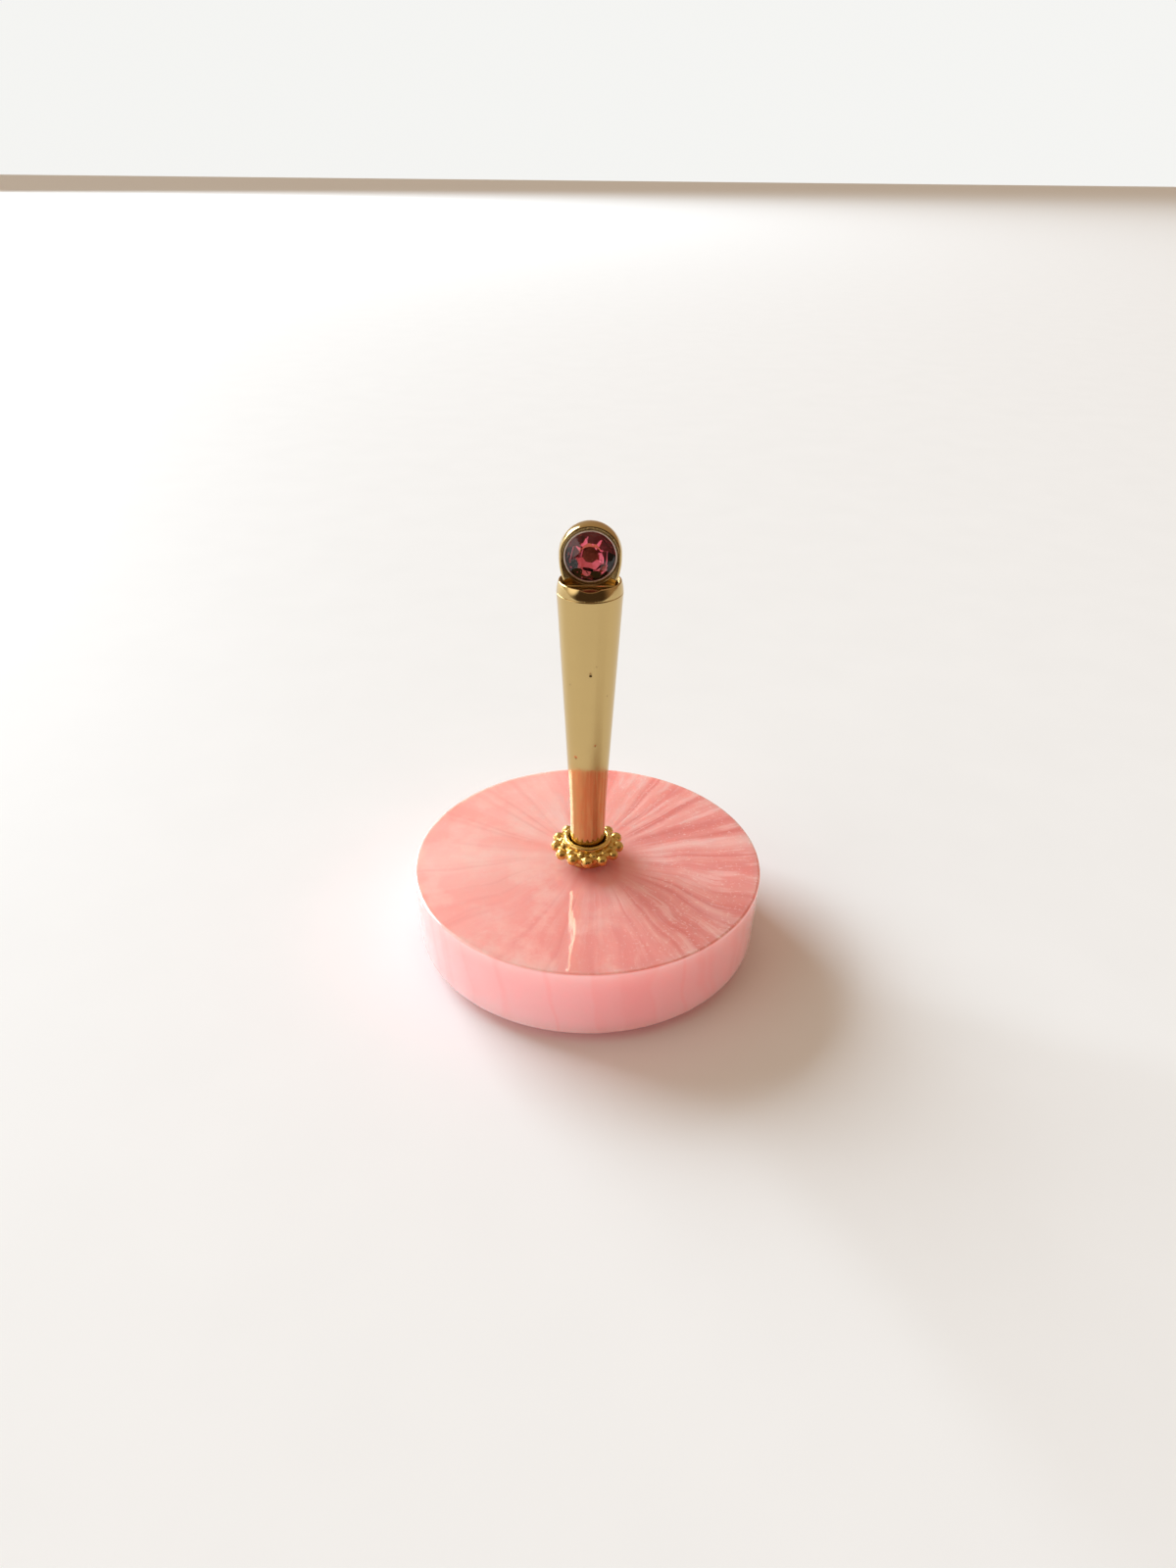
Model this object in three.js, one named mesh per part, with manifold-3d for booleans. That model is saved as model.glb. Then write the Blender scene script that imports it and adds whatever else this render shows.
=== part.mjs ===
// A small standing top: a cast-resin disc on a flat pivot, with a slim tapered metal stem, a beaded
// ring round the stem's foot and a round faceted stone set in the stem's head.
// Millimetres, +Z up. The origin is the centre of the pivot's flat end, and the stone faces -Y.

import * as THREE from "three";
import { mergeVertices } from "three/addons/utils/BufferGeometryUtils.js";
import Module from "manifold-3d";

const wasm = await Module();
wasm.setup();

// ---- driving dimensions ----

const PIVOT_HEIGHT = 1.5;
const PIVOT_RADIUS = 4.25;
const PIVOT_EDGE = 0.4;
const PIVOT_SHANK_RADIUS = 1.25;
const PIVOT_SHANK_LENGTH = 8.5;
const HEX_SOCKET_RADIUS = 1.45;
const HEX_SOCKET_DEPTH = 1.0;

const DISC_TOP_RADIUS = 25;
const DISC_HEIGHT = 11;
const DISC_DRAFT = THREE.MathUtils.degToRad(1.7);
const DISC_TOP_EDGE = 0.3;
const DISC_BOTTOM_EDGE = 1.0;
const DISC_SEAT_DEPTH = 7.5;

const WASHER_THICKNESS = 0.6;
const WASHER_RADIUS = 3;

const RING_LIFT = 0.09;
const RING_THICKNESS = 3.1;
const RING_BORE_RADIUS = 2.65;
const COLLAR_RADIUS = 3.4;
const COLLAR_EDGE = 0.3;
const WEB_RADIUS = 4.1;
const WEB_THICKNESS = 0.9;
const BEAD_COUNT = 13;
const BEAD_RADIUS = 0.81;
const BEAD_CIRCLE_RADIUS = 4.44;

const STEM_FOOT_RADIUS = 2.42;
const STEM_SLOPE = 0.0545;
const STEM_BLEND_HEIGHT = 8.3;
const STEM_BLEND_WIDTH = 4;
const STEM_LEDGE_HEIGHT = 42.15;

const HEAD_JOINT_DROP = 1.45;
const LIP_CREST_RADIUS = 3.82;
const LIP_EDGE = 0.1;
const LIP_DISH_RADIUS = 3.72;
const LIP_DISH_DEPTH = 0.45;
const HEAD_RADIUS = 3.88;
const HEAD_WAIST = 0.5;
const HEAD_WAIST_HEIGHT = 2.8;
const HEAD_DOME_HEIGHT = 3.3;
const HEAD_FACE_OFFSET = 1.2;
const HEAD_PEG_RADIUS = 1.2;
const HEAD_PEG_LENGTH = 6;

const STONE_HEIGHT = 3.2;
const STONE_SETBACK = 0.2;
const STONE_RADIUS = 3;
const STONE_FACETS = 16;
const STONE_GIRDLE = 0.2;
const STONE_CROWN = 0.75;
const STONE_PAVILION = 1.4;
const STONE_TABLE_RATIO = 0.52;
const BEZEL_WALL = 0.2;
const BEZEL_PROUD = 0.12;
const BEZEL_DEPTH = 0.8;
const SOCKET_DEPTH = 2.1;
const RECESS_RADIUS = 3.48;
const RECESS_DEPTH = 0.25;

const SLIP_GAP = 0.05;
const FACE_GAP = 0.02;
const ROUND_SEGMENTS = 36;
const DISC_SEGMENTS = 72;
const ARC_STEPS = 3;

// ---- heights that follow from them ----

const DISC_TOP = PIVOT_HEIGHT + DISC_HEIGHT;
const STEM_BASE = DISC_TOP - DISC_SEAT_DEPTH;
const LEDGE = DISC_TOP + STEM_LEDGE_HEIGHT;
const HEAD_JOINT = LEDGE - HEAD_JOINT_DROP;
const DOME_CENTRE = LEDGE + HEAD_DOME_HEIGHT;
const STONE_CENTRE = LEDGE + STONE_HEIGHT;
const RING_MIDDLE = DISC_TOP + WASHER_THICKNESS + RING_LIFT + RING_THICKNESS / 2;

// ---- materials ----

const resin = new THREE.MeshStandardMaterial({ color: 0xf2a79c, roughness: 0.18, metalness: 0 });
const paleGold = new THREE.MeshStandardMaterial({ color: 0xdcc08a, roughness: 0.12, metalness: 1 });
const warmGold = new THREE.MeshStandardMaterial({ color: 0xd0a24a, roughness: 0.3, metalness: 1 });
const steel = new THREE.MeshStandardMaterial({ color: 0xb9b4a8, roughness: 0.35, metalness: 1 });
const redCrystal = new THREE.MeshStandardMaterial({ color: 0xb8324a, roughness: 0.02, metalness: 0 });

// ---- helpers ----

function point(radius, height) {
  return new THREE.Vector2(radius, height);
}

// Points of a circular arc in the profile plane, angles in degrees from the radial direction.
function arc(centreRadius, centreHeight, radius, fromDegrees, toDegrees, steps = ARC_STEPS) {
  return Array.from({ length: steps + 1 }, (_, i) => {
    const angle = THREE.MathUtils.degToRad(fromDegrees + ((toDegrees - fromDegrees) * i) / steps);
    return point(centreRadius + radius * Math.cos(angle), centreHeight + radius * Math.sin(angle));
  });
}

// Turns a profile of (radius, height) points, which runs anticlockwise, about the Z axis.
function turned(profile, segments = ROUND_SEGMENTS) {
  const geometry = new THREE.LatheGeometry(profile, segments);
  geometry.rotateX(Math.PI / 2);
  return geometry;
}

function closedProfile(profile) {
  return [...profile, profile[0].clone()];
}

function toSolid(geometry) {
  const bare = geometry.clone();
  bare.deleteAttribute("normal");
  bare.deleteAttribute("uv");
  const merged = mergeVertices(bare, 1e-5);
  const used = [];
  const index = merged.index.array;
  for (let i = 0; i < index.length; i += 3) {
    const [a, b, c] = [index[i], index[i + 1], index[i + 2]];
    if (a !== b && b !== c && c !== a) {
      used.push(a, b, c);
    }
  }
  return new wasm.Manifold(new wasm.Mesh({
    numProp: 3,
    vertProperties: new Float32Array(merged.attributes.position.array),
    triVerts: new Uint32Array(used),
  }));
}

function toGeometry(solid) {
  const { vertProperties, triVerts } = solid.getMesh();
  const geometry = new THREE.BufferGeometry();
  geometry.setAttribute("position", new THREE.BufferAttribute(vertProperties, 3));
  geometry.setIndex(new THREE.BufferAttribute(triVerts, 1));
  return geometry;
}

function part(name, geometry, material) {
  geometry.computeVertexNormals();
  const mesh = new THREE.Mesh(geometry, material);
  mesh.name = name;
  return mesh;
}

// The stem's radius at a height above the disc: nearly parallel at the foot, then an even taper.
function stemRadius(height) {
  const past = height - STEM_BLEND_HEIGHT;
  return STEM_FOOT_RADIUS + (STEM_SLOPE * (past + Math.hypot(past, STEM_BLEND_WIDTH))) / 2;
}

// ---- sub-parts ----

// The cast disc: a shallow draft on its side, a stepped hole down its middle for stem and screw.
function disc() {
  const bottomRadius = DISC_TOP_RADIUS - DISC_HEIGHT * Math.tan(DISC_DRAFT);
  const draft = THREE.MathUtils.radToDeg(DISC_DRAFT);
  const seatRadius = STEM_FOOT_RADIUS + SLIP_GAP;
  const screwHole = PIVOT_SHANK_RADIUS + SLIP_GAP;
  const seatFloor = STEM_BASE - SLIP_GAP;
  const profile = [
    point(screwHole, PIVOT_HEIGHT),
    ...arc(bottomRadius - DISC_BOTTOM_EDGE, PIVOT_HEIGHT + DISC_BOTTOM_EDGE, DISC_BOTTOM_EDGE, -90, -draft),
    ...arc(DISC_TOP_RADIUS - DISC_TOP_EDGE, DISC_TOP - DISC_TOP_EDGE, DISC_TOP_EDGE, -draft, 90, 3),
    point(seatRadius, DISC_TOP),
    point(seatRadius, seatFloor),
    point(screwHole, seatFloor),
  ];
  return part("disc", turned(closedProfile(profile), DISC_SEGMENTS), resin);
}

// The screw that holds the stem from below. Its flat, low head is the pivot that the disc stands on.
function pivotScrew() {
  const top = PIVOT_HEIGHT - FACE_GAP;
  const profile = [
    point(0, 0),
    ...arc(PIVOT_RADIUS - PIVOT_EDGE, PIVOT_EDGE, PIVOT_EDGE, -90, 0),
    point(PIVOT_RADIUS, top),
    point(PIVOT_SHANK_RADIUS, top),
    point(PIVOT_SHANK_RADIUS, top + PIVOT_SHANK_LENGTH),
    point(0, top + PIVOT_SHANK_LENGTH),
  ];
  const socket = new THREE.CylinderGeometry(HEX_SOCKET_RADIUS, HEX_SOCKET_RADIUS, 2 * HEX_SOCKET_DEPTH, 6);
  socket.rotateX(Math.PI / 2);
  return part("pivot_screw", toGeometry(toSolid(turned(profile)).subtract(toSolid(socket))), steel);
}

// The tapered stem: its foot sits in the disc, and each end is bored for the piece that joins it.
function stem() {
  const screwBore = PIVOT_SHANK_RADIUS + SLIP_GAP;
  const screwBoreEnd = PIVOT_HEIGHT + PIVOT_SHANK_LENGTH + SLIP_GAP;
  const pegBore = HEAD_PEG_RADIUS + SLIP_GAP;
  const pegBoreEnd = HEAD_JOINT - HEAD_PEG_LENGTH - 2 * SLIP_GAP;
  const steps = 9;
  const taper = Array.from({ length: steps + 1 }, (_, i) => {
    const height = DISC_TOP + ((HEAD_JOINT - FACE_GAP - DISC_TOP) * i) / steps;
    return point(stemRadius(height - DISC_TOP), height);
  });
  const profile = [
    point(0, screwBoreEnd),
    point(screwBore, screwBoreEnd),
    point(screwBore, STEM_BASE),
    point(STEM_FOOT_RADIUS, STEM_BASE),
    point(STEM_FOOT_RADIUS, DISC_TOP),
    ...taper,
    point(pegBore, HEAD_JOINT - FACE_GAP),
    point(pegBore, pegBoreEnd),
    point(0, pegBoreEnd),
  ];
  return part("stem", turned(profile), paleGold);
}

// The washer between the disc and the beaded ring.
function seatWasher() {
  const bore = stemRadius(WASHER_THICKNESS) + SLIP_GAP;
  const profile = [
    point(bore, DISC_TOP + FACE_GAP),
    point(WASHER_RADIUS, DISC_TOP + FACE_GAP),
    point(WASHER_RADIUS, DISC_TOP + WASHER_THICKNESS),
    point(bore, DISC_TOP + WASHER_THICKNESS),
  ];
  return part("seat_washer", turned(closedProfile(profile)), warmGold);
}

// The beaded ring: a collar, a thin web round it and a circle of round beads, cast in one piece.
// It is loose on the stem's foot and turns about it.
function beadSpacer() {
  const half = RING_THICKNESS / 2;
  const web = WEB_THICKNESS / 2;
  const round = COLLAR_RADIUS - COLLAR_EDGE;
  const profile = [
    point(RING_BORE_RADIUS, -half),
    ...arc(round, COLLAR_EDGE - half, COLLAR_EDGE, -90, 0),
    point(COLLAR_RADIUS, -web),
    point(WEB_RADIUS, -web),
    point(WEB_RADIUS, web),
    point(COLLAR_RADIUS, web),
    ...arc(round, half - COLLAR_EDGE, COLLAR_EDGE, 0, 90),
    point(RING_BORE_RADIUS, half),
  ];
  let solid = toSolid(turned(closedProfile(profile)));
  for (let i = 0; i < BEAD_COUNT; i += 1) {
    const angle = (2 * Math.PI * i) / BEAD_COUNT - Math.PI / 2;
    const bead = new THREE.SphereGeometry(BEAD_RADIUS, 10, 8);
    bead.translate(BEAD_CIRCLE_RADIUS * Math.cos(angle), BEAD_CIRCLE_RADIUS * Math.sin(angle), 0);
    solid = solid.add(toSolid(bead));
  }
  const mesh = part("bead_spacer", toGeometry(solid), warmGold);
  mesh.position.z = RING_MIDDLE;
  return mesh;
}

// The head: a bevelled lip that carries on from the stem, with a shallow dish inside it, and a dome
// that stands in the dish on a narrower waist. The dome's front is cut to a flat upright face, with
// a round recess and the stone's deeper socket sunk in it. A peg holds the head in the stem.
function settingHead() {
  const base = turned([
    point(0, HEAD_JOINT - HEAD_PEG_LENGTH),
    point(HEAD_PEG_RADIUS, HEAD_JOINT - HEAD_PEG_LENGTH),
    point(HEAD_PEG_RADIUS, HEAD_JOINT),
    point(stemRadius(STEM_LEDGE_HEIGHT - HEAD_JOINT_DROP), HEAD_JOINT),
    point(LIP_CREST_RADIUS + LIP_EDGE, LEDGE - LIP_EDGE),
    point(LIP_CREST_RADIUS, LEDGE),
    point(LIP_DISH_RADIUS, LEDGE),
    point(LIP_DISH_RADIUS - LIP_EDGE, LEDGE - LIP_DISH_DEPTH),
    point(0, LEDGE - LIP_DISH_DEPTH),
  ]);
  const foot = LEDGE - 2 * LIP_DISH_DEPTH;
  const waistSteps = 4;
  const waist = Array.from({ length: waistSteps }, (_, i) => {
    const along = i / waistSteps;
    return point(HEAD_RADIUS - HEAD_WAIST * (1 - along) ** 2, LEDGE + HEAD_WAIST_HEIGHT * along);
  });
  const dome = turned([
    point(0, foot),
    point(HEAD_RADIUS - HEAD_WAIST, foot),
    ...waist,
    ...arc(0, DOME_CENTRE, HEAD_RADIUS, 0, 90, 9),
  ]);
  const front = new THREE.BoxGeometry(4 * HEAD_RADIUS, 2 * HEAD_RADIUS, 4 * HEAD_RADIUS);
  front.translate(0, -HEAD_FACE_OFFSET - HEAD_RADIUS, LEDGE - LIP_DISH_DEPTH + 2 * HEAD_RADIUS);
  const solid = toSolid(dome).subtract(toSolid(front)).add(toSolid(base));
  const socketRadius = STONE_RADIUS + SLIP_GAP + BEZEL_WALL + SLIP_GAP;
  const bore = (radius, depth) => {
    const geometry = new THREE.CylinderGeometry(radius, radius, 2 * depth, ROUND_SEGMENTS);
    geometry.translate(0, -HEAD_FACE_OFFSET, STONE_CENTRE);
    return toSolid(geometry);
  };
  const bored = solid.subtract(bore(socketRadius, SOCKET_DEPTH)).subtract(bore(RECESS_RADIUS, RECESS_DEPTH));
  return part("setting_head", toGeometry(bored), paleGold);
}

// The thin ring that holds the stone in the recess of the head's face.
function bezelRing() {
  const inner = STONE_RADIUS + SLIP_GAP;
  const outer = inner + BEZEL_WALL;
  const profile = [
    point(inner, -BEZEL_DEPTH),
    point(outer, -BEZEL_DEPTH),
    point(outer, BEZEL_PROUD - BEZEL_WALL / 2),
    ...arc(inner + BEZEL_WALL / 2, BEZEL_PROUD - BEZEL_WALL / 2, BEZEL_WALL / 2, 0, 180),
  ];
  const mesh = part("bezel_ring", turned(closedProfile(profile)), warmGold);
  mesh.position.set(0, STONE_SETBACK - HEAD_FACE_OFFSET, STONE_CENTRE);
  mesh.rotation.x = Math.PI / 2;
  return mesh;
}

// The round stone: a many-sided table and crown, a thin girdle and a pointed back.
function crystal() {
  const step = (2 * Math.PI) / STONE_FACETS;
  const rings = [
    { radius: STONE_RADIUS, height: -STONE_GIRDLE / 2, turn: 0 },
    { radius: STONE_RADIUS, height: STONE_GIRDLE / 2, turn: 0 },
    { radius: STONE_RADIUS * STONE_TABLE_RATIO, height: STONE_CROWN, turn: step / 2 },
  ];
  const positions = [0, 0, -STONE_PAVILION, 0, 0, STONE_CROWN];
  const at = (ring, i) => 2 + ring * STONE_FACETS + (i % STONE_FACETS);
  for (const { radius, height, turn } of rings) {
    for (let i = 0; i < STONE_FACETS; i += 1) {
      const angle = i * step + turn;
      positions.push(radius * Math.cos(angle), radius * Math.sin(angle), height);
    }
  }
  const faces = [];
  for (let i = 0; i < STONE_FACETS; i += 1) {
    faces.push(0, at(0, i + 1), at(0, i));
    for (const ring of [0, 1]) {
      faces.push(at(ring, i), at(ring, i + 1), at(ring + 1, i));
      faces.push(at(ring + 1, i), at(ring, i + 1), at(ring + 1, i + 1));
    }
    faces.push(1, at(2, i), at(2, i + 1));
  }
  const geometry = new THREE.BufferGeometry();
  geometry.setAttribute("position", new THREE.Float32BufferAttribute(positions, 3));
  geometry.setIndex(faces);
  const mesh = part("crystal", geometry, redCrystal);
  mesh.position.set(0, STONE_SETBACK - HEAD_FACE_OFFSET, STONE_CENTRE);
  mesh.rotation.x = Math.PI / 2;
  return mesh;
}

// ---- the object ----

const group = new THREE.Group();
group.add(disc());
group.add(pivotScrew());
group.add(stem());
group.add(seatWasher());
group.add(beadSpacer());
group.add(settingHead());
group.add(bezelRing());
group.add(crystal());

export default group;
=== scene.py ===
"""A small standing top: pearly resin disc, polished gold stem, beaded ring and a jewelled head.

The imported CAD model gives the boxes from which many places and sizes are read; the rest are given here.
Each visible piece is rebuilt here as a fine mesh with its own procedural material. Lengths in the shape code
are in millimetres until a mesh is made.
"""

import math
from itertools import product

import bmesh
import bpy
import numpy as np
from mathutils import Matrix, Vector


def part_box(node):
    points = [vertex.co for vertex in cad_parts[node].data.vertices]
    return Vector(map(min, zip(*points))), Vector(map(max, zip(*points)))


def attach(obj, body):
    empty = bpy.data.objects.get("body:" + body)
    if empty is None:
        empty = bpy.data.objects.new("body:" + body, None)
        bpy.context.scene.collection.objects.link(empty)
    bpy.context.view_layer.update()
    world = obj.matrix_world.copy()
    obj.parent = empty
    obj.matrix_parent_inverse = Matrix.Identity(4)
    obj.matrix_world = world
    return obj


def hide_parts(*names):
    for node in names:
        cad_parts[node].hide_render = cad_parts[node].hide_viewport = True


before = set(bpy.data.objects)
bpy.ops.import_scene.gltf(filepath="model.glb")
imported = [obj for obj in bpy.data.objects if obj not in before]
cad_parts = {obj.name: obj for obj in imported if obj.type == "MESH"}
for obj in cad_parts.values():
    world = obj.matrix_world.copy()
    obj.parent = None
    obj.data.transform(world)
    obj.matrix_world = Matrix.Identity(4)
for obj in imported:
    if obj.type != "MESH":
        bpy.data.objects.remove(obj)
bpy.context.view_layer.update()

MM = 0.001
TAU = 2 * math.pi


# ---- sizes in millimetres, some read from the frame and the rest given ----

def box_mm(node):
    low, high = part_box(node)
    return Vector(low) / MM, Vector(high) / MM


DISC_LOW, DISC_HIGH = box_mm("disc")
STEM_LOW, STEM_HIGH = box_mm("stem")
HEAD_LOW, HEAD_HIGH = box_mm("setting_head")
RING_LOW, RING_HIGH = box_mm("bead_spacer")
WASHER_LOW, WASHER_HIGH = box_mm("seat_washer")
BEZEL_LOW, BEZEL_HIGH = box_mm("bezel_ring")
SCREW_LOW, SCREW_HIGH = box_mm("pivot_screw")

DISC_TOP = DISC_HIGH.z
DISC_BOTTOM = DISC_LOW.z
DISC_RADIUS = DISC_HIGH.x
DISC_DRAFT = math.radians(1.7)
DISC_SEAT_RADIUS = 2.47
DISC_SEAT_DEPTH = 7.55

STEM_FOOT_RADIUS = 2.42
STEM_SLOPE = 0.0545
STEM_BLEND_HEIGHT = 8.3
STEM_BLEND_WIDTH = 4.0

HEAD_RADIUS = 3.88
HEAD_WAIST = 0.5
HEAD_WAIST_HEIGHT = 2.8
HEAD_JOINT = STEM_HIGH.z + 0.02
HEAD_LEDGE = HEAD_JOINT + 1.45
HEAD_DOME = HEAD_HIGH.z - HEAD_RADIUS
HEAD_FACE = -1.2
HEAD_PEG_RADIUS = 1.2
LIP_CREST_RADIUS = 3.82
LIP_EDGE = 0.1
LIP_DISH_RADIUS = 3.7
LIP_DISH_DEPTH = 0.45
RECESS_RADIUS = 3.48
RECESS_DEPTH = 0.25

STONE_CENTRE = (BEZEL_LOW.z + BEZEL_HIGH.z) / 2
STONE_RADIUS = 3.0
STONE_PLANE = HEAD_FACE + 0.2
BEZEL_INNER = 3.05
BEZEL_OUTER = BEZEL_HIGH.x
SOCKET_RADIUS = 3.3
SOCKET_FLOOR = 0.5

SCREW_BORE_RADIUS = 1.3
SCREW_SHANK_RADIUS = 1.22
SCREW_PITCH = 0.5
SCREW_SOCKET_HALF = 1.25
SCREW_SOCKET_DEPTH = 1.0

RING_MIDDLE = (RING_LOW.z + RING_HIGH.z) / 2
RING_HALF = (RING_HIGH.z - RING_LOW.z) / 2
COLLAR_INNER = 2.65
COLLAR_OUTER = 3.4
BEAD_COUNT = 13
BEAD_RADIUS = 0.81
BEAD_CIRCLE = 4.44


def stem_radius(height):
    """The stem's radius at a height above the disc."""
    past = height - STEM_BLEND_HEIGHT
    return STEM_FOOT_RADIUS + STEM_SLOPE * (past + np.hypot(past, STEM_BLEND_WIDTH)) / 2


# ---- meshes ----

def new_object(name, vertices, faces, smooth=True):
    mesh = bpy.data.meshes.new(name)
    mesh.from_pydata([tuple(v) for v in np.asarray(vertices) * MM], [], [tuple(f) for f in faces])
    mesh.update()
    if smooth:
        mesh.shade_smooth()
    made = bpy.data.objects.new(name, mesh)
    bpy.context.scene.collection.objects.link(made)
    return made


def piece(made, node, body, material):
    """Stands for a CAD node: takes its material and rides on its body."""
    made.data.materials.append(material)
    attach(made, body)
    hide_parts(node)
    return made


def store(mesh, name, values):
    """Keeps one number a vertex, for the materials to read."""
    mesh.attributes.new(name, "FLOAT", "POINT").data.foreach_set("value", np.asarray(values, np.float32))


def arc(centre, radius, start, end, steps):
    """Points of a circular arc in a profile, with angles in degrees from the radial direction."""
    angles = np.radians(np.linspace(start, end, steps + 1))
    return np.stack([centre[0] + radius * np.cos(angles), centre[1] + radius * np.sin(angles)], 1)


def line(start, end, steps):
    """Points along a straight line, without the last one."""
    return np.linspace(start, end, steps, endpoint=False)


def turned(name, profile, segments, shape=None):
    """Turns a closed profile of (radius, height) points about Z. Points on the axis become one vertex."""
    profile = np.asarray(profile, float)
    angles = np.arange(segments) * TAU / segments
    on_axis = profile[:, 0] < 1e-6
    starts, vertices = [], []
    for (radius, height), single in zip(profile, on_axis):
        starts.append(len(vertices))
        turns = angles[:1] if single else angles
        vertices += [(radius * math.cos(a), radius * math.sin(a), height) for a in turns]
    faces = []
    count = len(profile)
    for i in range(count):
        j = (i + 1) % count
        if on_axis[i] and on_axis[j]:
            continue
        for k in range(segments):
            n = (k + 1) % segments
            a = starts[i] + (0 if on_axis[i] else k)
            b = starts[i] + (0 if on_axis[i] else n)
            c = starts[j] + (0 if on_axis[j] else n)
            d = starts[j] + (0 if on_axis[j] else k)
            face = [a, b, c, d]
            faces.append([v for at, v in enumerate(face) if v != face[at - 1]])
    vertices = np.array(vertices)
    if shape is not None:
        vertices = shape(vertices)
    return new_object(name, vertices, faces)


# ---- solids from a field: negative inside, positive outside, in millimetres ----

def both(a, b, radius):
    """Where two solids meet, with the outer edge rounded."""
    corner = np.hypot(np.maximum(a + radius, 0), np.maximum(b + radius, 0))
    return np.minimum(np.maximum(a, b), -radius) + corner


def either(a, b, radius):
    """Two solids joined, with the inner corner filled round."""
    return -both(-a, -b, radius)


def slope_of(field, points, reach=0.01):
    """The field's gradient, by differences."""
    out = np.empty_like(points)
    for axis in range(3):
        step = np.zeros(3)
        step[axis] = reach
        out[:, axis] = (field(*(points + step).T) - field(*(points - step).T)) / (2 * reach)
    return out


def solid_of(name, field, box, step, margin=0.3, cavity_reach=0.3):
    """A closed quad mesh of the surface where the field is zero, by surface nets, inside a box and a margin.

    One vertex in each grid cell that the surface crosses is drawn on to the surface along the field's
    slope, and each grid edge that it crosses makes a quad of the four cells round it. The field's own
    slope gives the normals, and "cavity" says how far each vertex sits in a hollow.
    """
    low, high = np.asarray(box[0], float) - margin, np.asarray(box[1], float) + margin
    counts = np.ceil((high - low) / step).astype(int) + 1
    grid = np.meshgrid(*[low[i] + step * np.arange(counts[i]) for i in range(3)], indexing="ij")
    inside = field(*grid) < 0
    corners = [inside[i:counts[0] - 1 + i, j:counts[1] - 1 + j, k:counts[2] - 1 + k]
               for i, j, k in product((0, 1), repeat=3)]
    crossed = np.any(corners, axis=0) & ~np.all(corners, axis=0)
    cells = np.argwhere(crossed)
    number = np.full(crossed.shape, -1)
    number[crossed] = np.arange(len(cells))
    middles = low + step * (cells + 0.5)
    points = middles.copy()
    for _ in range(5):
        slope = slope_of(field, points)
        size = np.maximum((slope ** 2).sum(1), 0.05)
        points -= (field(*points.T) / size)[:, None] * slope
        points = np.clip(points, middles - 0.75 * step, middles + 0.75 * step)
    quads = []
    for axis in range(3):
        near = np.take(inside, range(counts[axis] - 1), axis)
        far = np.take(inside, range(1, counts[axis]), axis)
        side = np.eye(3, dtype=int)
        b, c = side[(axis + 1) % 3], side[(axis + 2) % 3]
        for leaving in (True, False):
            at = np.argwhere((near == leaving) & (far != leaving))
            around = [at, at - b, at - b - c, at - c]
            quad = np.stack([number[tuple(p.T)] for p in around], 1)
            quads.append(quad if leaving else quad[:, ::-1])
    made = new_object(name, points, np.concatenate(quads).tolist())
    slope = slope_of(field, points)
    normals = slope / np.linalg.norm(slope, axis=1)[:, None]
    made.data.normals_split_custom_set_from_vertices(normals.tolist())
    store(made.data, "cavity", np.clip(1 - field(*(points + cavity_reach * normals).T) / cavity_reach, 0, 1))
    return made


# ---- the pieces ----

def vein_height(x, y):
    """The relief of the disc's cast face: soft rays from the middle, and the resin's climb at the rim."""
    radius = np.hypot(x, y)
    angle = np.arctan2(y, x)
    spread = np.clip((radius - 5) / 12, 0, 1) * np.clip((DISC_RADIUS - 0.6 - radius) / 4, 0, 1)
    rays = 0.5 * np.sin(17 * angle + 0.16 * radius) + 0.35 * np.sin(29 * angle - 0.21 * radius + 1.3)
    rays += 0.3 * np.sin(43 * angle + 0.12 * radius + 0.4)
    swell = np.sin(0.55 * x + 0.8) * np.sin(0.47 * y + 2.1)
    rim = 0.07 * np.exp((radius - DISC_RADIUS + 0.3) / 0.35)
    return (0.012 * rays + 0.012 * swell) * spread + rim


def make_disc(material):
    """The cast disc. Its top face is a fine grid with the ripples of the casting."""
    bottom_radius = DISC_RADIUS - (DISC_TOP - DISC_BOTTOM) * math.tan(DISC_DRAFT)
    draft = math.degrees(DISC_DRAFT)
    top_edge, bottom_edge = 0.3, 1.0
    seat_floor = DISC_TOP - DISC_SEAT_DEPTH
    profile = np.concatenate([
        line((SCREW_BORE_RADIUS, DISC_BOTTOM), (bottom_radius - bottom_edge, DISC_BOTTOM), 12),
        arc((bottom_radius - bottom_edge, DISC_BOTTOM + bottom_edge), bottom_edge, -90, -draft, 8),
        line((bottom_radius, DISC_BOTTOM + bottom_edge), (DISC_RADIUS, DISC_TOP - top_edge), 16)[1:],
        arc((DISC_RADIUS - top_edge, DISC_TOP - top_edge), top_edge, -draft, 90, 6),
        line((DISC_RADIUS - top_edge, DISC_TOP), (DISC_SEAT_RADIUS, DISC_TOP), 110)[1:],
        line((DISC_SEAT_RADIUS, DISC_TOP), (DISC_SEAT_RADIUS, seat_floor), 8),
        line((DISC_SEAT_RADIUS, seat_floor), (SCREW_BORE_RADIUS, seat_floor), 2),
        line((SCREW_BORE_RADIUS, seat_floor), (SCREW_BORE_RADIUS, DISC_BOTTOM), 4),
    ])

    def ripple(vertices):
        on_top = vertices[:, 2] > DISC_TOP - 1e-6
        vertices[on_top, 2] += vein_height(vertices[on_top, 0], vertices[on_top, 1])
        return vertices

    made = turned("resin_disc", profile, 384, ripple)
    return piece(made, "disc", "top", material)


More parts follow.
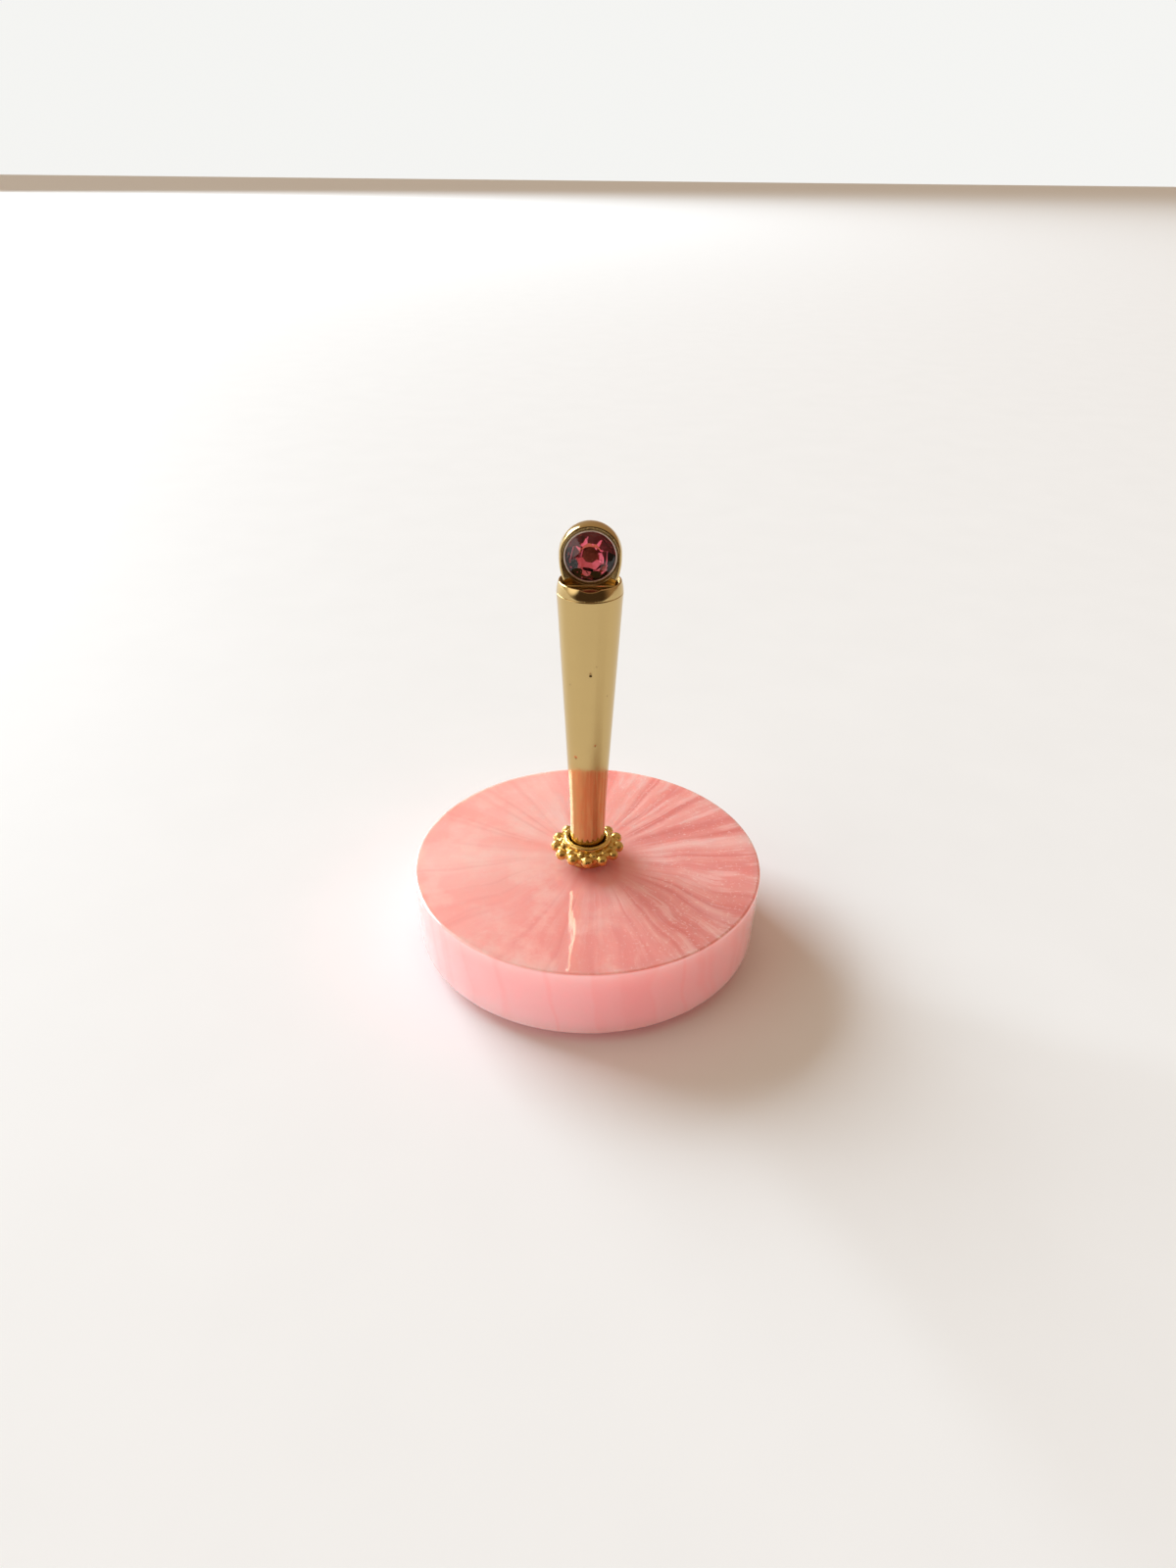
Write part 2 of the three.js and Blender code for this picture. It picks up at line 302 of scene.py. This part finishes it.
def make_stem(material):
    """The tapered stem, with the few small pits that its polish shows.

    Each pit is its angle from the front, its height above the disc, its width and its depth.
    """
    pits = [(0.05, 30.9, 0.5, 0.09), (-0.75, 29.0, 0.3, 0.06), (0.75, 27.4, 0.3, 0.05),
            (-0.6, 18.0, 0.45, 0.06), (0.3, 20.1, 0.3, 0.05), (2.4, 25.0, 0.4, 0.06),
            (-2.6, 12.0, 0.4, 0.05)]
    top = STEM_HIGH.z
    edge = 0.04
    heights = np.linspace(DISC_TOP, top - edge, 330)
    side = np.stack([stem_radius(heights - DISC_TOP), heights], 1)
    peg_bore, peg_end = HEAD_PEG_RADIUS + 0.05, HEAD_LOW.z - 0.1
    screw_end = SCREW_HIGH.z + 0.07
    top_radius = stem_radius(top - DISC_TOP)
    profile = np.concatenate([
        [(0, screw_end), (SCREW_BORE_RADIUS, screw_end), (SCREW_BORE_RADIUS, STEM_LOW.z)],
        [(STEM_FOOT_RADIUS - 0.2, STEM_LOW.z), (STEM_FOOT_RADIUS, STEM_LOW.z + 0.2)],
        side,
        [(top_radius - edge, top), (peg_bore, top), (peg_bore, peg_end), (0, peg_end)],
    ])

    hollows = []

    def pitted(vertices):
        angle = np.arctan2(vertices[:, 0], -vertices[:, 1])
        radius = np.hypot(vertices[:, 0], vertices[:, 1])
        hollow = np.zeros(len(vertices))
        for turn, height, width, depth in pits:
            across = radius * (angle - turn)
            up = vertices[:, 2] - DISC_TOP - height
            shape = np.exp(-(across ** 2 + up ** 2) / (width / 2) ** 2) * (radius > 2.1)
            vertices[:, :2] *= (1 - depth * shape / np.maximum(radius, 1))[:, None]
            hollow = np.maximum(hollow, shape)
        hollows.extend(hollow)
        return vertices

    made = turned("gold_stem", profile, 224, pitted)
    # The pits' depth is stored as cavity, which the gold darkens as painted shade.
    store(made.data, "cavity", hollows)
    return piece(made, "stem", "top", material)


def make_head(material):
    """The head: a bevelled lip with a shallow dish in it, and a waisted dome with a flat upright face."""
    joint_radius = stem_radius(HEAD_JOINT - DISC_TOP)
    fall = math.atan2(joint_radius - LIP_CREST_RADIUS - LIP_EDGE, HEAD_LEDGE - LIP_EDGE - HEAD_JOINT)
    middle, half = (HEAD_JOINT + HEAD_LEDGE) / 2, (HEAD_LEDGE - HEAD_JOINT) / 2

    def lip(radius, z):
        band = radius - stem_radius(np.minimum(z, HEAD_LEDGE) - DISC_TOP)
        swell = 0.06 * np.maximum(1 - ((z - middle) / half) ** 2, 0)
        bevel = (radius - joint_radius) * math.cos(fall) + (z - HEAD_JOINT) * math.sin(fall) - swell
        solid = both(np.maximum(band, bevel), z - HEAD_LEDGE, LIP_EDGE)
        dish = np.maximum(radius - LIP_DISH_RADIUS, HEAD_LEDGE - LIP_DISH_DEPTH - z)
        return both(both(solid, -dish, 0.1), HEAD_JOINT - z, 0.03)

    def field(x, y, z):
        radius = np.hypot(x, y)
        peg = np.maximum(radius - HEAD_PEG_RADIUS, z - HEAD_LEDGE + 1)
        base = np.minimum(lip(radius, z), both(peg, HEAD_LOW.z - z, 0.2))
        rise = np.clip((z - HEAD_LEDGE) / HEAD_WAIST_HEIGHT, 0, 1)
        above = np.maximum(z - HEAD_DOME, 0)
        dome = np.hypot(radius, above) - HEAD_RADIUS + HEAD_WAIST * (1 - rise) ** 2
        dome = both(np.maximum(dome, HEAD_LEDGE - 2 * LIP_DISH_DEPTH - z), HEAD_FACE - y, 0.15)
        from_stone = np.hypot(x, z - STONE_CENTRE)
        recess = np.maximum(from_stone - RECESS_RADIUS, y - HEAD_FACE - RECESS_DEPTH)
        socket = np.maximum(from_stone - SOCKET_RADIUS, y - SOCKET_FLOOR)
        return both(both(either(base, dome, 0.12), -recess, 0.05), -socket, 0.04)

    made = solid_of("gold_head", field, (HEAD_LOW, HEAD_HIGH), 0.07)
    return piece(made, "setting_head", "top", material)


def stone_place():
    """Turns what is made about Z to face -Y, and puts it in the head's recess."""
    middle = Matrix.Translation((0, STONE_PLANE * MM, STONE_CENTRE * MM))
    return middle @ Matrix.Rotation(math.pi / 2, 4, "X")


def make_bezel(material):
    """The thin ring round the stone, turned about Z and then laid over to face -Y."""
    wall = BEZEL_OUTER - BEZEL_INNER
    back = STONE_PLANE - BEZEL_HIGH.y
    front = STONE_PLANE - BEZEL_LOW.y
    round_end = (BEZEL_INNER + wall / 2, front - wall / 2)
    profile = np.concatenate([
        [(BEZEL_INNER, back), (BEZEL_OUTER, back)],
        arc(round_end, wall / 2, 0, 180, 10),
    ])
    made = turned("bezel", profile, 160)
    made.data.transform(stone_place())
    return piece(made, "bezel_ring", "top", material)


def cut_stone(name, facets, radius):
    """A round stone, cut facet by facet: each facet is a plane, given by its normal and its distance."""
    made = bpy.data.meshes.new(name)
    work = bmesh.new()
    bmesh.ops.create_cone(work, cap_ends=True, segments=64, radius1=radius, radius2=radius, depth=4 * radius)
    for normal, distance in facets:
        everything = work.verts[:] + work.edges[:] + work.faces[:]
        cut = bmesh.ops.bisect_plane(work, geom=everything, plane_co=normal * distance, plane_no=normal,
                                     clear_outer=True, dist=1e-6)
        rim = [e for e in cut["geom_cut"] if isinstance(e, bmesh.types.BMEdge)]
        if rim:
            bmesh.ops.holes_fill(work, edges=rim, sides=0)
    bmesh.ops.recalc_face_normals(work, faces=work.faces[:])
    work.to_mesh(made)
    work.free()
    made.transform(Matrix.Scale(MM, 4))
    stone = bpy.data.objects.new(name, made)
    bpy.context.scene.collection.objects.link(stone)
    return stone


def ring_of_facets(count, offset, tilt, radius, height):
    """Facet planes set round the axis, all tilted alike, each through the point at that radius and height."""
    out = []
    for i in range(count):
        turn = TAU * (i + offset) / count
        normal = Vector((math.sin(tilt) * math.cos(turn), math.sin(tilt) * math.sin(turn), math.cos(tilt)))
        through = Vector((radius * math.cos(turn), radius * math.sin(turn), height))
        out.append((normal, normal.dot(through)))
    return out


def make_crystal(glass, foil):
    """The faceted stone: clear in front, with foil on its back facets."""
    girdle = 0.1
    facets = ring_of_facets(8, 0.8, math.radians(180 - 34), STONE_RADIUS, -girdle)
    facets += ring_of_facets(16, 0.6, math.radians(180 - 37), STONE_RADIUS, -girdle)
    facets += ring_of_facets(8, 0.3, math.radians(31), STONE_RADIUS, girdle)
    facets += ring_of_facets(16, 0.1, math.radians(38), STONE_RADIUS, girdle)
    facets += ring_of_facets(8, 0.8, math.radians(19), STONE_RADIUS * 0.62, 0.86)
    facets += [(Vector((0, 0, 1)), 0.98)]
    stone = cut_stone("stone", facets, STONE_RADIUS)
    piece(stone, "crystal", "top", glass)
    stone.data.materials.append(foil)
    for face in stone.data.polygons:
        face.material_index = int(face.normal.z < -0.3)
    stone.data.transform(stone_place())


def make_spacer(material):
    """The beaded ring: collar, web, granules and beads, cast in one piece with the soft edges of casting."""
    sector = TAU / BEAD_COUNT

    def row(x, y, z, offset, circle, height, size, spread):
        """A circle of balls, each a little off in size and height."""
        angle = np.arctan2(y, x) + math.pi / 2 - offset * sector
        turn = np.mod(np.floor(angle / sector + 0.5), BEAD_COUNT)
        local = angle - np.floor(angle / sector + 0.5) * sector
        grown = size * (1 + spread * np.sin(5.1 * turn + 0.7))
        lifted = height + spread * np.sin(3.3 * turn)
        radius = np.hypot(x, y)
        return np.sqrt((radius * np.cos(local) - circle) ** 2 + (radius * np.sin(local)) ** 2
                       + (z - lifted) ** 2) - grown

    def field(x, y, z):
        z = z - RING_MIDDLE
        radius = np.hypot(x, y)
        wall = np.maximum(radius - COLLAR_OUTER, COLLAR_INNER - radius)
        collar = both(wall, np.abs(z) - RING_HALF, 0.38)
        web = both(np.maximum(radius - BEAD_CIRCLE, COLLAR_INNER + 0.1 - radius), np.abs(z) - 0.42, 0.15)
        solid = either(collar, web, 0.35)
        for side in (-1, 1):
            solid = either(solid, row(x, y, z, 0.5, 3.62, side * 0.42, 0.42, 0.12), 0.2)
        solid = either(solid, row(x, y, z, 0, BEAD_CIRCLE, 0, BEAD_RADIUS, 0.04), 0.14)
        uneven = np.sin(4.1 * x + 1.7 * z) * np.sin(3.7 * y - 2.3 * z + 0.9)
        grain = np.sin(13 * x - 7 * z + 1) * np.sin(12 * y + 9 * z) * np.sin(11 * z + 5 * x)
        return np.maximum(solid + 0.02 * uneven + 0.012 * grain, COLLAR_INNER - radius)

    made = solid_of("beaded_ring_cast", field, (RING_LOW, RING_HIGH), 0.07)
    return piece(made, "bead_spacer", "beaded_ring", material)


def make_washer(material):
    """The washer under the beaded ring, with softened rims."""
    bore, rim, edge = stem_radius(0.6) + 0.05, WASHER_HIGH.x, 0.12
    low, high = WASHER_LOW.z, WASHER_HIGH.z
    profile = np.concatenate([
        arc((rim - edge, low + edge), edge, -90, 0, 4),
        arc((rim - edge, high - edge), edge, 0, 90, 4),
        arc((bore + edge, high - edge), edge, 90, 180, 4),
        arc((bore + edge, low + edge), edge, 180, 270, 4),
    ])
    made = turned("seat_washer_turned", profile, 128)
    return piece(made, "seat_washer", "top", material)


def make_screw(material):
    """The pivot screw: a low flat head with a hex socket, and a threaded shank up into the stem."""
    head_top = DISC_BOTTOM - 0.02

    def field(x, y, z):
        radius = np.hypot(x, y)
        angle = np.arctan2(y, x)
        head = both(radius - SCREW_HIGH.x, np.maximum(-z, z - head_top), 0.35)
        wave = np.abs(np.mod(z / SCREW_PITCH - angle / TAU, 1) - 0.5) * 2
        shank = both(radius - SCREW_SHANK_RADIUS + 0.16 * wave, z - SCREW_HIGH.z, 0.25)
        shank = np.maximum(shank, 0.5 - z)
        sides = [np.abs(x * math.cos(a) + y * math.sin(a)) for a in (0, TAU / 6, TAU / 3)]
        socket = np.maximum(np.maximum.reduce(sides) - SCREW_SOCKET_HALF, z - SCREW_SOCKET_DEPTH)
        return both(either(head, shank, 0.05), -socket, 0.06)

    made = solid_of("pivot_screw_turned", field, (SCREW_LOW, SCREW_HIGH), 0.1)
    return piece(made, "pivot_screw", "top", material)


# ---- materials ----

class Shader:
    """A node tree, with short calls for the nodes that it is made of."""

    def __init__(self, owner, surface="Principled BSDF"):
        owner.use_nodes = True
        self.owner = owner
        self.tree = owner.node_tree
        self.surface = self.tree.nodes[surface]

    def node(self, kind, **settings):
        made = self.tree.nodes.new(kind)
        for key, value in settings.items():
            setattr(made, key, value)
        return made

    def put(self, value, socket):
        """Feeds a socket with another node's output, or sets it."""
        if isinstance(value, bpy.types.NodeSocket):
            self.tree.links.new(value, socket)
        else:
            colour = socket.type == "RGBA" and len(value) == 3
            socket.default_value = (*value, 1) if colour else value

    def place(self):
        """The point on the object, in metres."""
        return self.node("ShaderNodeTexCoord").outputs["Object"]

    def parts(self, vector):
        made = self.node("ShaderNodeSeparateXYZ")
        self.put(vector, made.inputs[0])
        return made.outputs

    def math(self, operation, a, b=0.0, c=0.0):
        made = self.node("ShaderNodeMath", operation=operation)
        for value, socket in zip((a, b, c), made.inputs):
            self.put(value, socket)
        return made.outputs[0]

    def times(self, *factors):
        product_so_far = factors[0]
        for factor in factors[1:]:
            product_so_far = self.math("MULTIPLY", product_so_far, factor)
        return product_so_far

    def vector(self, operation, a, b=(0, 0, 0)):
        made = self.node("ShaderNodeVectorMath", operation=operation)
        self.put(a, made.inputs[0])
        self.put(b, made.inputs["Scale" if operation == "SCALE" else 1])
        return made.outputs["Value" if operation in ("LENGTH", "DOT_PRODUCT") else 0]

    def noise(self, place, scale, detail=3.0, roughness=0.5):
        made = self.node("ShaderNodeTexNoise")
        self.put(place, made.inputs["Vector"])
        for key, value in (("Scale", scale), ("Detail", detail), ("Roughness", roughness)):
            made.inputs[key].default_value = value
        return made.outputs[0]

    def ramp(self, factor, *stops):
        """A colour ramp with stops of (position, colour)."""
        made = self.node("ShaderNodeValToRGB")
        self.put(factor, made.inputs[0])
        elements = made.color_ramp.elements
        while len(elements) < len(stops):
            elements.new(0.5)
        for element, (position, colour) in zip(elements, stops):
            element.position = position
            element.color = (*colour, 1)
        return made.outputs[0]

    def fit(self, value, low, high, to_low=0.0, to_high=1.0):
        """A soft step: to_low where the value is at or under low, to_high where it is at or over high."""
        made = self.node("ShaderNodeMapRange", interpolation_type="SMOOTHSTEP")
        for item, socket in zip((value, low, high, to_low, to_high), made.inputs):
            self.put(item, socket)
        return made.outputs[0]

    def mix(self, factor, a, b):
        made = self.node("ShaderNodeMix", data_type="RGBA")
        for value, socket in zip((factor, a, b), (made.inputs[0], made.inputs[6], made.inputs[7])):
            self.put(value, socket)
        return made.outputs[2]

    def attribute(self, name):
        return self.node("ShaderNodeAttribute", attribute_name=name).outputs["Fac"]

    def bump(self, height, distance, target="Normal"):
        made = self.node("ShaderNodeBump")
        made.inputs["Distance"].default_value = distance
        self.put(height, made.inputs["Height"])
        self.put(made.outputs[0], self.surface.inputs[target])

    def set(self, **sockets):
        for key, value in sockets.items():
            self.put(value, self.surface.inputs[key.replace("_", " ")])


def new_material(name):
    return Shader(bpy.data.materials.new(name))


class Rays:
    """Patterns that run out from the middle: noise read at a place made of direction and distance."""

    def __init__(self, shader):
        self.shader = shader
        place = shader.place()
        self.flat = shader.vector("MULTIPLY", place, (1, 1, 0))
        self.reach = shader.vector("LENGTH", self.flat)
        wander = shader.math("ADD", shader.noise(place, 50, 2), -0.5)
        curl = shader.fit(shader.parts(place)[1], -0.006, 0.006, 0.55, 0.18)
        swing = shader.times(wander, curl)
        turn = shader.node("ShaderNodeVectorRotate", rotation_type="Z_AXIS")
        shader.put(shader.vector("NORMALIZE", self.flat), turn.inputs["Vector"])
        shader.put(swing, turn.inputs["Angle"])
        self.direction = turn.outputs[0]

    def place(self, spread, along, seed):
        """More spread gives more rays, and more along breaks each of them up sooner."""
        lengthwise = self.shader.node("ShaderNodeCombineXYZ")
        self.shader.put(self.shader.math("MULTIPLY_ADD", self.reach, along, seed), lengthwise.inputs[2])
        around = self.shader.vector("SCALE", self.direction, spread)
        return self.shader.vector("ADD", around, lengthwise.outputs[0])


def resin_material():
    """Pearly pink resin under a clear gloss: soft pale petals that run out, with darker veins between."""
    shader = new_material("pearly resin")
    rays = Rays(shader)
    place = shader.place()
    x, y, z = shader.parts(place)
    cells = shader.node("ShaderNodeTexVoronoi", feature="DISTANCE_TO_EDGE")
    shader.put(rays.place(4.4, 9, 3), cells.inputs["Vector"])
    cells.inputs["Scale"].default_value = 1.0
    edge = cells.outputs["Distance"]
    broad = shader.noise(rays.place(2.6, 24, 0), 1, 2)
    feather = shader.noise(rays.place(7, 34, 5), 1, 3, 0.55)
    streaks = shader.noise(rays.place(16, 80, 7), 1, 4, 0.65)
    cloud = shader.noise(place, 210, 4, 0.6)
    from_middle = shader.fit(rays.reach, 0.005, 0.011)
    # Painted glare: the veins, petals and pearly streaks are shown fainter toward the left, where the
    # window's glare lies on the gloss.
    clear_of_painted_glare = shader.fit(shader.math("MULTIPLY_ADD", y, 0.3, x), -0.010, 0.012, 0.25, 1.0)
    on_top = shader.fit(z, (DISC_TOP - 0.15) * MM, (DISC_TOP - 0.02) * MM)
    shown = shader.times(from_middle, clear_of_painted_glare, on_top)
    # Painted shade: toward the right and front the tone moves from the light ramp to the dark one, for the
    # side turned away from the window.
    painted_shade_right_front = shader.fit(shader.math("MULTIPLY_ADD", y, -0.55, x), -0.020, 0.026)
    vein = shader.times(shader.fit(edge, 0.0, 0.11, 1.0, 0.0),
                        shader.fit(feather, 0.38, 0.6, 0.25, 1.0), shown)
    petal = shader.times(shader.fit(edge, 0.05, 0.32), shader.fit(feather, 0.42, 0.66), shown)
    # The pale cloudy patches are partly the resin's own clouding and partly a painted sheen of the window's
    # glare, made stronger toward the left.
    haze = shader.times(shader.fit(cloud, 0.44, 0.68), on_top, shader.math("SUBTRACT", 1.15, clear_of_painted_glare))
    shimmer = shader.math("MULTIPLY_ADD", streaks, 0.7, shader.times(cloud, 0.3))
    pearl = shader.times(shader.fit(shimmer, 0.48, 0.61), shown)
    # The light and dark ramps are one resin pattern, lit and in painted shade.
    light = shader.ramp(broad, (0.3, (0.99, 0.39, 0.335)), (0.55, (1.0, 0.47, 0.42)),
                        (0.75, (1.0, 0.55, 0.49)))
    dark = shader.ramp(broad, (0.3, (0.74, 0.22, 0.19)), (0.55, (0.80, 0.28, 0.245)),
                       (0.75, (0.86, 0.35, 0.31)))
    tone = shader.mix(painted_shade_right_front, light, dark)
    tone = shader.mix(shader.times(haze, 0.45), tone, (1.0, 0.66, 0.58))
    tone = shader.mix(shader.times(petal, 0.6), tone, (0.98, 0.62, 0.57))
    tone = shader.mix(shader.times(pearl, 0.42), tone, (0.98, 0.68, 0.64))
    tone = shader.mix(shader.times(vein, 0.7), tone, (0.72, 0.17, 0.15))
    sparkle = shader.times(shader.fit(shader.noise(place, 2600, 2), 0.6, 0.72), shown)
    tone = shader.mix(shader.times(sparkle, 0.4), tone, (1.0, 0.78, 0.72))
    wall = shader.mix(shader.fit(edge, 0.0, 0.1, 0.4, 0.0), (1.0, 0.50, 0.48), (0.96, 0.36, 0.33))
    tone = shader.mix(on_top, wall, tone)
    depth = shader.math("MULTIPLY_ADD", on_top, -0.018, 0.025)
    shader.set(Base_Color=tone, Roughness=0.4, IOR=1.5, Subsurface_Weight=0.95, Subsurface_Scale=depth,
               Subsurface_Radius=(1.0, 0.3, 0.27), Coat_Weight=1.0, Coat_Roughness=0.02, Coat_IOR=1.5)
    # A weak glow in the wall stands in for the light that the cast resin carries through its body.
    glow = shader.times(shader.math("SUBTRACT", 1.0, on_top), shader.fit(x, -0.012, 0.024, 1.0, 0.6),
                        shader.fit(z, 0.0014, 0.004, 0.3, 1.0))
    glow = shader.math("MULTIPLY_ADD", glow, 0.25, 0.04)
    shader.set(Emission_Color=(1.0, 0.26, 0.33), Emission_Strength=glow)
    relief = shader.math("MULTIPLY_ADD", shader.fit(edge, 0.0, 0.2), 0.3, shader.times(streaks, 0.7))
    shader.bump(shader.times(relief, shown), 0.00013)
    ripple = shader.math("MULTIPLY_ADD", shader.noise(place, 1500, 2), 0.5, shader.times(relief, 0.5))
    shader.bump(shader.times(ripple, on_top), 0.000008, "Coat Normal")
    return shader.owner


def gold_material(name, colour, dark, roughness, hollow_shade_strength):
    """Gold metal, with a faint haze, a few specks, and painted shade darkening its hollows."""
    shader = new_material(name)
    place = shader.place()
    haze = shader.noise(place, 400, 3)
    specks = shader.fit(shader.noise(place, 1500, 2), 0.72, 0.78)
    # Painted shade: the deeper a point sits in a hollow, the more it takes the dark colour.
    hollow = shader.fit(shader.attribute("cavity"), 0.25, 0.95)
    tone = shader.mix(shader.times(haze, 0.25), colour, tuple(0.86 * c for c in colour))
    tone = shader.mix(shader.times(specks, 0.3), tone, dark)
    tone = shader.mix(shader.times(hollow, hollow_shade_strength), tone, dark)
    rough = shader.fit(haze, 0.3, 0.7, roughness * 0.7, roughness * 1.4)
    shader.set(Base_Color=tone, Metallic=1.0, Roughness=rough)
    shader.bump(shader.noise(place, 700, 3), 0.000003)
    return shader.owner


def crystal_material():
    """Pink-red cut glass, deeper where the light goes further through it."""
    shader = new_material("red crystal")
    shader.set(Base_Color=(1.0, 0.93, 0.94), Roughness=0.0, IOR=1.54, Transmission_Weight=1.0)
    absorption = shader.node("ShaderNodeVolumeAbsorption")
    absorption.inputs["Color"].default_value = (0.97, 0.15, 0.42, 1)
    absorption.inputs["Density"].default_value = 270
    output = shader.tree.nodes["Material Output"]
    shader.put(absorption.outputs[0], output.inputs["Volume"])
    return shader.owner


def foil_material():
    """The mirror foil on the stone's back facets."""
    shader = new_material("stone foil")
    tarnish = shader.noise(shader.place(), 1500, 3)
    tone = shader.mix(shader.fit(tarnish, 0.35, 0.75), (0.97, 0.90, 0.90), (0.90, 0.66, 0.60))
    shader.set(Base_Color=tone, Metallic=1.0, Roughness=0.03)
    return shader.owner


def steel_material():
    """Turned steel with fine rings."""
    shader = new_material("turned steel")
    place = shader.place()
    reach = shader.vector("LENGTH", shader.vector("MULTIPLY", place, (1, 1, 0)))
    lines = shader.math("SINE", shader.times(reach, 45000))
    grain = shader.noise(place, 1200, 3)
    tone = shader.mix(grain, (0.42, 0.40, 0.37), (0.60, 0.58, 0.54))
    shader.set(Base_Color=tone, Metallic=1.0, Roughness=0.32)
    shader.bump(lines, 0.000004)
    return shader.owner


# ---- the stage ----

def make_floor():
    """The pale table, which reaches far to the sides and back and ends a little in front of the object."""
    mesh = bpy.data.meshes.new("floor")
    reach, near_edge = 30.0, -0.15
    corners = [(-reach, near_edge, 0), (reach, near_edge, 0), (reach, reach, 0), (-reach, reach, 0)]
    mesh.from_pydata(corners, [], [(0, 1, 2, 3)])
    floor = bpy.data.objects.new("floor", mesh)
    bpy.context.scene.collection.objects.link(floor)
    shader = new_material("pale floor")
    grain = shader.noise(shader.place(), 60, 2)
    shader.set(Base_Color=shader.mix(grain, (0.87, 0.87, 0.86), (0.90, 0.90, 0.89)), Roughness=0.6,
               Specular_IOR_Level=0.1)
    mesh.materials.append(shader.owner)


def make_world():
    """A plain warm room with a bright curtain on the left, dark on the near side."""
    world = bpy.data.worlds.new("room")
    bpy.context.scene.world = world
    shader = Shader(world, "Background")
    direction = shader.node("ShaderNodeTexCoord").outputs["Generated"]
    x, y, z = shader.parts(direction)
    near = shader.fit(shader.math("MULTIPLY", y, -1.0), 0.15, 0.75)
    walls = shader.mix(shader.fit(x, -0.9, 0.3), (0.80, 0.74, 0.64), (0.44, 0.30, 0.20))
    walls = shader.mix(near, walls, (0.07, 0.045, 0.03))
    room = shader.mix(shader.fit(z, 0.3, 0.95), walls, (0.50, 0.38, 0.27))
    towards_curtain = shader.vector("DOT_PRODUCT", direction, (-0.84, -0.39, 0.38))
    room = shader.mix(shader.fit(towards_curtain, 0.88, 0.97), room, (1.7, 1.6, 1.5))
    seen = shader.node("ShaderNodeLightPath").outputs["Is Camera Ray"]
    shader.set(Color=shader.mix(seen, room, (0.91, 0.91, 0.89)), Strength=1.0)


def make_window():
    """The wide soft window that lights the object from behind on the left, given by where it is seen."""
    azimuth, elevation, distance = math.radians(131), math.radians(27), 6.0
    across, tall = math.radians(37), math.radians(27)
    towards = Vector((-math.sin(azimuth) * math.cos(elevation),
                      -math.cos(azimuth) * math.cos(elevation), math.sin(elevation)))
    light = bpy.data.lights.new("window", "AREA")
    light.shape = "RECTANGLE"
    light.size = 2 * distance * math.tan(across / 2)
    light.size_y = 2 * distance * math.tan(tall / 2)
    light.energy = 480
    light.color = (0.87, 1.0, 1.12)
    made = bpy.data.objects.new("window", light)
    made.location = towards * distance
    made.rotation_euler = towards.to_track_quat("Z", "Y").to_euler()
    made.visible_camera = False
    bpy.context.scene.collection.objects.link(made)


def make_camera():
    """The camera looks down on the disc from in front, rolled a little to one side."""
    distance, elevation = 0.1433, math.radians(36.04)
    pitch, roll = math.radians(31.80), math.radians(0.6)
    data = bpy.data.cameras.new("camera")
    data.sensor_width = 36
    data.lens = 22.5
    data.clip_start, data.clip_end = 0.005, 100
    camera = bpy.data.objects.new("camera", data)
    camera.location = (0, -distance * math.cos(elevation), DISC_TOP * MM + distance * math.sin(elevation))
    tilt = Matrix.Rotation(math.pi / 2 - pitch, 3, "X") @ Matrix.Rotation(roll, 3, "Z")
    camera.rotation_euler = tilt.to_euler()
    bpy.context.scene.collection.objects.link(camera)
    bpy.context.scene.camera = camera


# ---- build ----

bpy.context.scene.view_settings.view_transform = "Standard"
make_camera()
make_floor()
make_world()
make_window()

# The last number of each gold sets how much painted shade darkens its hollows.
PALE_GOLD = gold_material("pale gold", (0.60, 0.43, 0.185), (0.16, 0.09, 0.03), 0.09, 0.6)
WARM_GOLD = gold_material("warm gold", (0.72, 0.47, 0.14), (0.24, 0.10, 0.02), 0.24, 0.9)
BRIGHT_RING = gold_material("bright ring", (1.0, 0.87, 0.76), (0.4, 0.27, 0.17), 0.45, 0.3)

make_disc(resin_material())
make_stem(PALE_GOLD)
make_head(PALE_GOLD)
make_bezel(BRIGHT_RING)
make_crystal(crystal_material(), foil_material())
make_spacer(WARM_GOLD)
make_washer(WARM_GOLD)
make_screw(steel_material())
